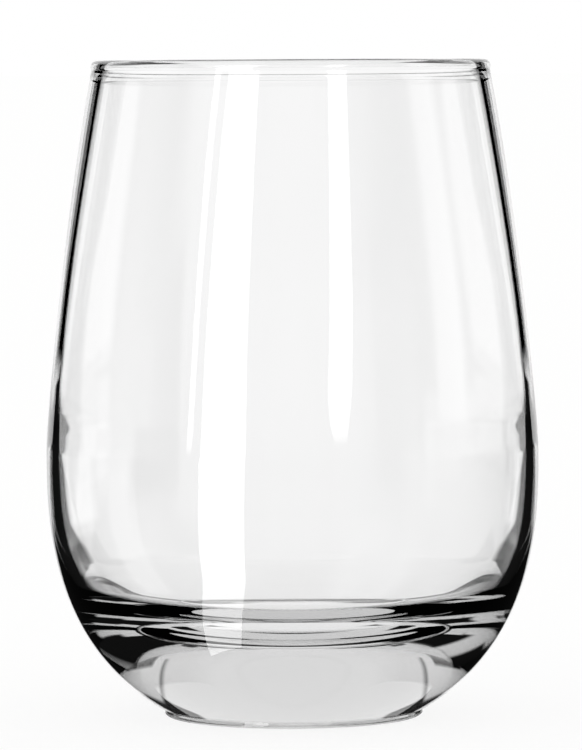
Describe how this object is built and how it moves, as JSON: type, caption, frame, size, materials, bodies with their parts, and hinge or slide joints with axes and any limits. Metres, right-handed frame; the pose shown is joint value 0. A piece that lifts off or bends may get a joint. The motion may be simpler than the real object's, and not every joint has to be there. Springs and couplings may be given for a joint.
{
  "type": "tumbler",
  "caption": "Stemless clear drinking glass with a rounded belly, inward-leaning thin wall, beaded rim and heavy solid base, for holding a drink.",
  "frame": {"origin": "centre of the ring that the glass stands on, at table level", "axes": "+Z is the axis of revolution, from the foot up to the rim; X and Y are equivalent"},
  "size_m": [0.0886, 0.0886, 0.118],
  "materials": {
    "clear_glass": "colourless soda-lime glass, blown smooth in a turning mould, fire-polished rim"
  },
  "bodies": {
    "root": {"glass_body": "clear_glass"}
  },
  "joints": []
}
